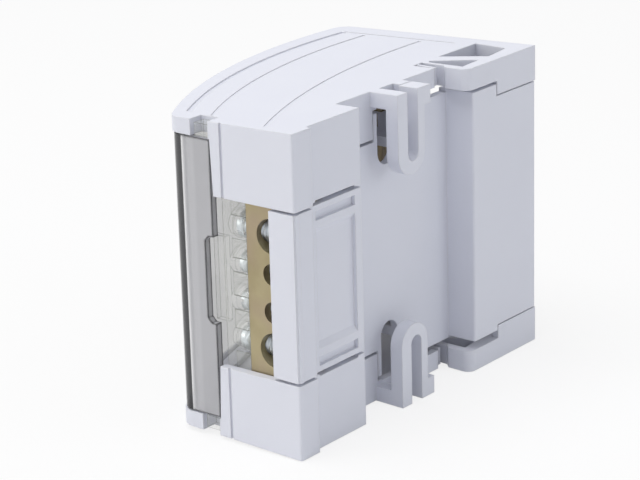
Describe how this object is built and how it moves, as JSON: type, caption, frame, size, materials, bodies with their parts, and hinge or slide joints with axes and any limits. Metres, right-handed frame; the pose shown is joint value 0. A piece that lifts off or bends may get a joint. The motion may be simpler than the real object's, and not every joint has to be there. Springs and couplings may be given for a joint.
{
  "type": "power distribution block",
  "caption": "Rail-mounted four-pole power distribution block with stepped brass busbars, slotted clamping screws, clear screw guards and a hinged smoked cover.",
  "frame": {"origin": "centre of the footprint, at the lowest point of the bottom end cap", "axes": "+Z along the rail, up as the block stands on its bottom end cap; +Y out of the rear mounting plane, toward the wall; +X toward the wire side; the cover faces -Y"},
  "size_m": [0.0864, 0.053, 0.07],
  "materials": {
    "housing": "satin",
    "smoked_cover": "gloss",
    "clear_guard": "gloss",
    "brass": "satin",
    "zinc_steel": "satin"
  },
  "bodies": {
    "housing": {"base_body": "housing", "end_cap_bottom": "housing", "end_cap_top": "housing", "busbar_1": "brass", "busbar_2": "brass", "busbar_3": "brass", "busbar_4": "brass", "screw_guard_1": "clear_guard", "screw_guard_2": "clear_guard", "screw_guard_3": "clear_guard", "screw_guard_4": "clear_guard"},
    "cover": {"front_cover": "smoked_cover"},
    "screw_1_1": {"clamp_screw_1_1": "zinc_steel"},
    "screw_1_2": {"clamp_screw_1_2": "zinc_steel"},
    "screw_1_3": {"clamp_screw_1_3": "zinc_steel"},
    "screw_1_4": {"clamp_screw_1_4": "zinc_steel"},
    "screw_2_1": {"clamp_screw_2_1": "zinc_steel"},
    "screw_2_2": {"clamp_screw_2_2": "zinc_steel"},
    "screw_2_3": {"clamp_screw_2_3": "zinc_steel"},
    "screw_2_4": {"clamp_screw_2_4": "zinc_steel"},
    "screw_3_1": {"clamp_screw_3_1": "zinc_steel"},
    "screw_3_2": {"clamp_screw_3_2": "zinc_steel"},
    "screw_3_3": {"clamp_screw_3_3": "zinc_steel"},
    "screw_3_4": {"clamp_screw_3_4": "zinc_steel"},
    "screw_4_1": {"clamp_screw_4_1": "zinc_steel"},
    "screw_4_2": {"clamp_screw_4_2": "zinc_steel"},
    "screw_4_3": {"clamp_screw_4_3": "zinc_steel"},
    "screw_4_4": {"clamp_screw_4_4": "zinc_steel"}
  },
  "joints": [
    {"name": "cover_hinge", "type": "hinge", "parent": "housing", "child": "cover", "pos_m": [-0.03585, -0.0215, 0.035], "axis": [0, 0, -1], "range_deg": [0, 110]},
    {"name": "screw_1_1_slide", "type": "slide", "parent": "housing", "child": "screw_1_1", "axis": [0, 1, 0], "range_m": [0, 0.0023]},
    {"name": "screw_1_2_slide", "type": "slide", "parent": "housing", "child": "screw_1_2", "axis": [0, 1, 0], "range_m": [0, 0.0009]},
    {"name": "screw_1_3_slide", "type": "slide", "parent": "housing", "child": "screw_1_3", "axis": [0, 1, 0], "range_m": [0, 0.0009]},
    {"name": "screw_1_4_slide", "type": "slide", "parent": "housing", "child": "screw_1_4", "axis": [0, 1, 0], "range_m": [0, 0.0023]},
    {"name": "screw_2_1_slide", "type": "slide", "parent": "housing", "child": "screw_2_1", "axis": [0, 1, 0], "range_m": [0, 0.0023]},
    {"name": "screw_2_2_slide", "type": "slide", "parent": "housing", "child": "screw_2_2", "axis": [0, 1, 0], "range_m": [0, 0.0009]},
    {"name": "screw_2_3_slide", "type": "slide", "parent": "housing", "child": "screw_2_3", "axis": [0, 1, 0], "range_m": [0, 0.0009]},
    {"name": "screw_2_4_slide", "type": "slide", "parent": "housing", "child": "screw_2_4", "axis": [0, 1, 0], "range_m": [0, 0.0023]},
    {"name": "screw_3_1_slide", "type": "slide", "parent": "housing", "child": "screw_3_1", "axis": [0, 1, 0], "range_m": [0, 0.0023]},
    {"name": "screw_3_2_slide", "type": "slide", "parent": "housing", "child": "screw_3_2", "axis": [0, 1, 0], "range_m": [0, 0.0009]},
    {"name": "screw_3_3_slide", "type": "slide", "parent": "housing", "child": "screw_3_3", "axis": [0, 1, 0], "range_m": [0, 0.0009]},
    {"name": "screw_3_4_slide", "type": "slide", "parent": "housing", "child": "screw_3_4", "axis": [0, 1, 0], "range_m": [0, 0.0023]},
    {"name": "screw_4_1_slide", "type": "slide", "parent": "housing", "child": "screw_4_1", "axis": [0, 1, 0], "range_m": [0, 0.0023]},
    {"name": "screw_4_2_slide", "type": "slide", "parent": "housing", "child": "screw_4_2", "axis": [0, 1, 0], "range_m": [0, 0.0009]},
    {"name": "screw_4_3_slide", "type": "slide", "parent": "housing", "child": "screw_4_3", "axis": [0, 1, 0], "range_m": [0, 0.0009]},
    {"name": "screw_4_4_slide", "type": "slide", "parent": "housing", "child": "screw_4_4", "axis": [0, 1, 0], "range_m": [0, 0.0023]}
  ]
}
